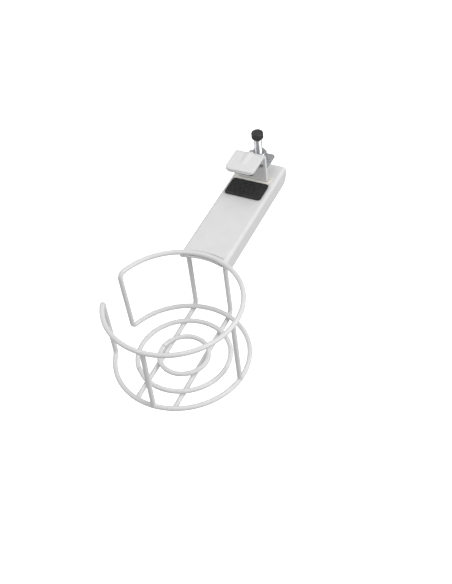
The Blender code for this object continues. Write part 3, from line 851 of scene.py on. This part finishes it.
# ---- hook and its fittings ----
def strip(name, line, width_at, thickness, bead=None):
    """A rolled strip along a line in Y and Z: rounded long edges, own width at each point.

    bead(distance) gives how far a pressed rib stands out of the strip's outer face there."""
    edge, fine = STRIP_EDGE_R, 28
    points = [Vector((0, y, z)) for y, z in line]
    distance = 0.0
    rows = []
    for i, point in enumerate(points):
        before = points[max(i - 1, 0)]
        after = points[min(i + 1, len(points) - 1)]
        if i:
            distance += (point - points[i - 1]).length
        along = (after - before).normalized()
        out = Vector((0, -along.z, along.y))
        half, half_t = width_at(distance) / 2, thickness / 2
        row = []
        for cx, cz, start in ((1, 1, 0), (-1, 1, 90), (-1, -1, 180), (1, -1, 270)):
            for x, z in arc((cx * (half - edge), cz * (half_t - edge)), edge, start, start + 90, 4):
                row.append((x, z))
            if (cx, cz) == (1, 1):
                row += [((half - edge) * (1 - 2 * k / fine), half_t) for k in range(1, fine)]
        placed = []
        for x, z in row:
            lift = 0.0
            if bead is not None and z > half_t - 1e-6:
                across = math.cos(math.pi * min(abs(x) / BEAD_WIDTH, 0.5))
                lift = bead(distance) * max(0.0, across) ** 1.5
            placed.append(point + Vector((x, 0, 0)) + out * (z + lift))
        rows.append(placed)
    return rows_mesh(name, rows)


def corner_width(width, radius, total):
    """Width along a strip whose first corners have this radius, and the last HOOK_TAIL_R."""
    def width_at(distance):
        inset = 0.0
        for from_end, r in ((distance, radius), (total - distance, HOOK_TAIL_R)):
            if from_end < r:
                inset += r - math.sqrt(max(r * r - (r - from_end) ** 2, 0.0))
        return width - 2 * inset
    return width_at


def line_length(line):
    return sum(math.dist(a, b) for a, b in zip(line, line[1:]))


def fine_ends(line, radius, steps=10):
    """Adds points near both ends of a line, so that rounded corners come out round."""
    def crowd(tip, inside, reach):
        tip, inside = Vector(tip), Vector(inside)
        inward = (inside - tip).normalized() * reach
        turns = [math.radians(90.0 * i / steps) for i in range(steps + 1)]
        return [tuple(tip + inward * (1 - math.cos(turn))) for turn in turns]

    tail = crowd(line[-1], line[-2], HOOK_TAIL_R)
    return crowd(line[0], line[1], radius) + line[1:-1] + tail[::-1]


def build_hook():
    """Upper jaw and leg in one bent strip, with a bead pressed into the jaw."""
    low, high = HOOK_LOW, HOOK_HIGH
    half_t = STRIP_T / 2
    middle_r = HOOK_BEND_R - half_t
    centre = (high.y - HOOK_BEND_R, high.z - HOOK_BEND_R)
    bend = arc(centre, middle_r, 90, 0, 20)
    plate = [(low.y, high.z - half_t)]
    plate += [(low.y + (bend[0][0] - low.y) * i / 14, high.z - half_t) for i in range(4, 14)]
    leg = [(high.y - half_t, bend[-1][1] + (low.z - bend[-1][1]) * i / 10) for i in range(1, 11)]
    line = fine_ends(plate + bend + leg, HOOK_CORNER_R)
    total = line_length(line)
    bend_end = line_length(plate + bend)

    def bead(distance):
        rise = smooth_step((distance - 6 * MM) / (3 * MM))
        return BEAD_RISE * rise * smooth_step((bend_end - 0.6 * MM - distance) / (3 * MM))

    width_at = corner_width(high.x * 2, HOOK_CORNER_R, total)
    hook = strip("clamp_hook_piece", line, width_at, STRIP_T, bead)
    return finish_piece(hook, "jaw", "sheet_coat", ["clamp_hook"], paint="hook_coat")


def build_bracket():
    """L-shaped strip: its upper leg against the hook, its shelf under the nut."""
    low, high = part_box("nut_bracket")
    half_t = SHELF_T / 2
    bend = BRACKET_BEND_R
    turn = arc((low.y + bend, low.z + bend), bend - half_t, 180, 270, 14)
    upper = [(low.y + half_t, high.z - (high.z - turn[0][1]) * i / 6) for i in range(6)]
    shelf = [(turn[-1][0] + (high.y - turn[-1][0]) * i / 8, low.z + half_t) for i in range(1, 9)]
    line = fine_ends(upper + turn + shelf, HOOK_TAIL_R)
    width_at = corner_width(high.x * 2, HOOK_TAIL_R, line_length(line))
    bracket = strip("nut_bracket_piece", line, width_at, SHELF_T)
    hole = drum("bracket_hole", SCREW_R + GAP, low.z - MM, low.z + SHELF_T + MM, (0, SCREW_Y))
    add_boolean(bracket, hole, "DIFFERENCE")
    bake(bracket, hole)
    return finish_piece(bracket, "jaw", "zinc_plate", ["nut_bracket"])


def build_rivet(node):
    """Flat head in the jaw, domed head behind the bracket."""
    low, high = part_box(node)
    centre = (low + high) / 2
    place = Matrix.Translation((centre.x, 0, centre.z)) @ Matrix.Rotation(-math.pi / 2, 4, "X")
    head_r, shank_r = high.x - centre.x, RIVET_SHANK_R
    back, front = high.y - RIVET_DOME, low.y + RIVET_FLAT
    dome_r = (head_r ** 2 + RIVET_DOME ** 2) / (2 * RIVET_DOME)
    profile = []
    for i in range(9):
        radius = head_r * 0.97 * i / 8
        profile.append((radius, high.y - dome_r + math.sqrt(dome_r ** 2 - radius ** 2)))
    profile += [(head_r, back + 0.08 * MM), (head_r - 0.1 * MM, back), (shank_r, back),
                (shank_r, front)]
    flat = [(shank_r, front), (head_r, front), (head_r, low.y), (0.0, low.y)]
    profile += rounded_profile(flat, 0.3 * MM)[1:]
    rivet = lathe(node + "_piece", profile, place, 40)
    return finish_piece(rivet, "jaw", "zinc_plate", [node])


def build_nut():
    """Hexagon with turned chamfers and a countersunk bore."""
    low, high = NUT_LOW, NUT_HIGH
    across = (high.y - low.y) / 2
    flat = across * math.cos(math.pi / 6)
    chamfer = 0.75 * MM
    place = Matrix.Translation((0, SCREW_Y, 0))
    bore = SCREW_R + 0.05 * MM
    profile = [(bore + 0.5 * MM, high.z), (flat * 0.96, high.z), (across * 1.02, high.z - chamfer),
               (across * 1.02, low.z + chamfer), (flat * 0.96, low.z), (bore + 0.5 * MM, low.z),
               (bore, low.z + 0.5 * MM), (bore, high.z - 0.5 * MM)]
    nut = lathe("hex_nut_piece", profile, place, 96)
    bm = bmesh.new()
    centre = Matrix.Translation((0, SCREW_Y, (low.z + high.z) / 2))
    bmesh.ops.create_cone(bm, cap_ends=True, segments=6, radius1=across, radius2=across,
                          depth=high.z - low.z + 2 * MM, matrix=centre)
    prism = new_object("nut_prism", bm)
    add_boolean(nut, prism, "INTERSECT")
    add_bevel(nut, 0.08 * MM, 2, 40.0)
    bake(nut, prism)
    return finish_piece(nut, "jaw", "zinc_plate", ["hex_nut"], sharp=30.0)


# ---- screw, knob and small parts ----
def build_screw():
    """Right-hand thread above the clip's groove, plain shank below, chamfered tip."""
    clip_low, clip_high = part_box("retaining_clip")
    sides, per_pitch = 28, 8
    start = clip_high.z + 0.5 * MM
    top = SCREW_HIGH.z
    rows = []

    def plain(radius, height):
        angles = [2 * math.pi * k / sides for k in range(sides)]
        rows.append([Vector((radius * math.cos(a), SCREW_Y + radius * math.sin(a), height))
                     for a in angles])

    for radius, height in ((SCREW_R, SCREW_LOW.z + 2 * MM), (SCREW_R, clip_low.z - 0.1 * MM),
                           (GROOVE_R, clip_low.z - 0.1 * MM), (GROOVE_R, clip_high.z + 0.1 * MM),
                           (SCREW_R, clip_high.z + 0.1 * MM)):
        plain(radius, height)
    count = int((top - start) / THREAD_PITCH * per_pitch)
    for i in range(count + 1):
        z = start + (top - start) * i / count
        row = []
        for k in range(sides):
            a = 2 * math.pi * k / sides
            phase = ((z - start) / THREAD_PITCH - k / sides) % 1.0
            cut = THREAD_DEPTH * min(1.0, max(0.0, abs(phase - 0.5) * 2.6 - 0.15))
            fade = min(1.0, (z - start) / (1.2 * THREAD_PITCH))
            limit = SCREW_R - max(0.0, z - (top - 0.8 * MM))
            radius = min(SCREW_R - cut * fade, limit)
            row.append(Vector((radius * math.cos(a), SCREW_Y + radius * math.sin(a), z)))
        rows.append(row)
    screw = rows_mesh("clamp_screw_piece", rows)
    return finish_piece(screw, "screw", "zinc_plate", ["clamp_screw"], sharp=50.0)


def build_knob():
    """Lobed knob with a boss above and a pocket for its cap below."""
    low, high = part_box("knob")
    sides = 144
    tip_r = (high.x - low.x) / 2
    top = high.z - BOSS_H
    bore = SCREW_R + 0.1 * MM
    fillet, soft = 1.4 * MM, 0.4 * MM

    def lobed(inset):
        def radius(angle):
            return tip_r - LOBE_DEPTH + LOBE_DEPTH * math.cos(KNOB_LOBES * angle) - inset
        return radius

    def even(value):
        return lambda angle: value

    rings = [(even(bore), high.z - 0.3 * MM), (even(bore + 0.3 * MM), high.z),
             (even(BOSS_R - soft), high.z)]
    rings += [(even(r), z) for r, z in arc((BOSS_R - soft, high.z - soft), soft, 60, 0, 3)]
    rings += [(even(BOSS_R), top + 0.5 * MM), (even(BOSS_R + 0.15 * MM), top + 0.15 * MM),
              (even(BOSS_R + 0.5 * MM), top), (lobed(fillet), top)]
    for i in range(1, 7):
        t = math.radians(15.0 * i)
        rings.append((lobed(fillet * (1 - math.sin(t))), top - fillet * (1 - math.cos(t))))
    for i in range(1, 6):
        rings.append((lobed(0.0), top - fillet - (top - low.z - 2 * fillet) * i / 6))
    for i in range(7):
        t = math.radians(15.0 * i)
        rings.append((lobed(fillet * (1 - math.cos(t))), low.z + fillet * (1 - math.sin(t))))
    rings += [(even(POCKET_R + 0.35 * MM), low.z), (even(POCKET_R), low.z + 0.35 * MM),
              (even(POCKET_R), low.z + POCKET_H), (even(bore), low.z + POCKET_H)]
    angles = [2 * math.pi * k / sides for k in range(sides)]
    rows = []
    for radius, z in rings:
        rows.append([Vector((radius(a) * math.cos(a), SCREW_Y + radius(a) * math.sin(a), z))
                     for a in angles])
    knob = rows_mesh("knob_piece", rows, cyclic=True)
    return finish_piece(knob, "screw", "knob_plastic", ["knob"], sharp=60.0)


def build_turned():
    """Cap, washers and end cap: turned pieces with small edge radii."""
    place = Matrix.Translation((0, SCREW_Y, 0))
    low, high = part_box("knob_cap")
    r = (high.x - low.x) / 2
    corners = [(0.0, high.z), (r, high.z), (r, low.z), (r - 1.1 * MM, low.z),
               (r - 1.9 * MM, low.z + 0.45 * MM), (0.0, low.z + 0.65 * MM)]
    cap = lathe("knob_cap_piece", rounded_profile(corners, 0.3 * MM), place, 72)
    finish_piece(cap, "screw", "knob_plastic", ["knob_cap"], sharp=60.0)
    for node, slot, soft in (("thrust_washer", "zinc_plate", 0.15 * MM),
                             ("top_washer", "guide_nylon", 0.25 * MM)):
        low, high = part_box(node)
        r, bore = (high.x - low.x) / 2, SCREW_R + 0.12 * MM
        middle = (low.z + high.z) / 2
        corners = [(bore, middle), (bore, high.z), (r, high.z), (r, low.z), (bore, low.z),
                   (bore, middle - 0.01 * MM)]
        ring = lathe(node + "_piece", rounded_profile(corners, soft), place, 72)
        finish_piece(ring, "screw", slot, [node], sharp=50.0)
    low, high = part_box("screw_end_cap")
    r, bore = (high.x - low.x) / 2, SCREW_R + 0.08 * MM
    roof = high.z - 1.2 * MM
    corners = [(0.0, high.z), (r, high.z), (r, high.z - 2.4 * MM), (r, low.z), (bore, low.z),
               (bore, roof), (0.0, roof)]
    profile = rounded_profile(corners, 1.1 * MM, 7)
    end_cap = lathe("screw_end_cap_piece", profile, place, 56)
    finish_piece(end_cap, "screw", "knob_plastic", ["screw_end_cap"], sharp=60.0)


def build_clip():
    """E-clip: open ring with three lugs that reach into the screw's groove."""
    low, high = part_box("retaining_clip")
    outer, lug, relief = 4.9 * MM, 2.42 * MM, 3.4 * MM
    mouth = 32.0                      # degrees, half of the opening
    outline = arc((0, SCREW_Y), outer, 90 + mouth, 90 - mouth + 360, 60)
    stops = [(418, 390, lug), (384, 306, relief), (300, 240, lug), (234, 156, relief),
             (150, 122, lug)]
    for start, end, radius in stops:  # the inner edge, from one side of the mouth to the other
        outline += arc((0, SCREW_Y), radius, start, end, 8)
    rows = [[Vector((x, y, z)) for x, y in outline] for z in (low.z, high.z)]
    clip = rows_mesh("retaining_clip_piece", rows)
    add_bevel(clip, 0.1 * MM, 2, 50.0)
    bake(clip)
    return finish_piece(clip, "screw", "spring_steel", ["retaining_clip"])


def build_clamp():
    build_pad("lower_jaw_pad", "arm_and_cage", True)
    build_pad("upper_jaw_pad", "jaw", False)
    build_guide()
    build_hook()
    build_bracket()
    build_rivet("left_rivet")
    build_rivet("right_rivet")
    build_nut()
    build_screw()
    build_knob()
    build_turned()
    build_clip()


# ---- camera, floor and light ----
def build_camera():
    """Camera from its place, azimuth, elevation, roll and lens."""
    azimuth, elevation = math.radians(CAMERA_AZIMUTH), math.radians(CAMERA_ELEVATION)
    roll = math.radians(CAMERA_ROLL)
    back = Vector((math.sin(azimuth) * math.cos(elevation),
                   -math.cos(azimuth) * math.cos(elevation), math.sin(elevation)))
    level = Vector((math.cos(azimuth), math.sin(azimuth), 0.0))
    upright_dir = back.cross(level)
    right = level * math.cos(roll) + upright_dir * math.sin(roll)
    up = upright_dir * math.cos(roll) - level * math.sin(roll)
    data = bpy.data.cameras.new("photo_camera")
    data.sensor_width = 36.0
    data.lens = CAMERA_LENS
    data.clip_start = 0.01
    data.clip_end = 50.0
    camera = bpy.data.objects.new("photo_camera", data)
    turn = Matrix((right, up, back)).transposed()
    camera.matrix_world = Matrix.Translation(CAMERA_PLACE) @ turn.to_4x4()
    bpy.context.scene.collection.objects.link(camera)
    bpy.context.scene.camera = camera


def build_stage():
    """A pale floor and a pale backdrop that show to the camera and throw no light back."""
    bm = bmesh.new()
    bmesh.ops.create_grid(bm, x_segments=1, y_segments=1, size=12.0)
    bmesh.ops.translate(bm, vec=Vector((0, 0, FLOOR_Z)), verts=bm.verts)
    floor = new_object("floor", bm)
    bm = bmesh.new()
    bmesh.ops.create_icosphere(bm, subdivisions=4, radius=11.0)
    dome = new_object("backdrop", bm)
    for obj in (floor, dome):
        shade = Shade("pale_" + obj.name, (0.93, 0.93, 0.93), 0.9)
        shade.cloudy(0.3, 2.0, (0.925, 0.925, 0.925), (0.935, 0.935, 0.935))
        shade.shader.inputs["Emission Color"].default_value = (1.0, 1.0, 1.0, 1.0)
        shade.shader.inputs["Emission Strength"].default_value = BACKDROP_GLOW
        obj.data.materials.append(shade.material)
        obj.visible_diffuse = obj.visible_glossy = False
        obj.visible_transmission = obj.visible_shadow = False


def area_light(name, place, size, power):
    """A square light aimed at the arm's middle."""
    data = bpy.data.lights.new(name, "AREA")
    data.shape = "SQUARE"
    data.size = size
    data.energy = power
    light = bpy.data.objects.new(name, data)
    light.location = place
    light.rotation_mode = "QUATERNION"
    light.rotation_quaternion = (Vector(LIGHT_AIM) - Vector(place)).to_track_quat("-Z", "Y")
    bpy.context.scene.collection.objects.link(light)


def build_light():
    """Key from above on the right, softer overhead, weak fill from the left, dim surround."""
    world = bpy.data.worlds.new("studio")
    world.use_nodes = True
    background = world.node_tree.nodes["Background"]
    background.inputs["Color"].default_value = (1.0, 1.0, 1.0, 1.0)
    background.inputs["Strength"].default_value = WORLD_STRENGTH
    bpy.context.scene.world = world
    for name, (place, size, power) in LIGHTS.items():
        area_light(name, place, size, power)
    bpy.context.scene.view_settings.view_transform = "Standard"


build_camera()
build_cage()
build_arm()
build_clamp()
build_stage()
build_light()
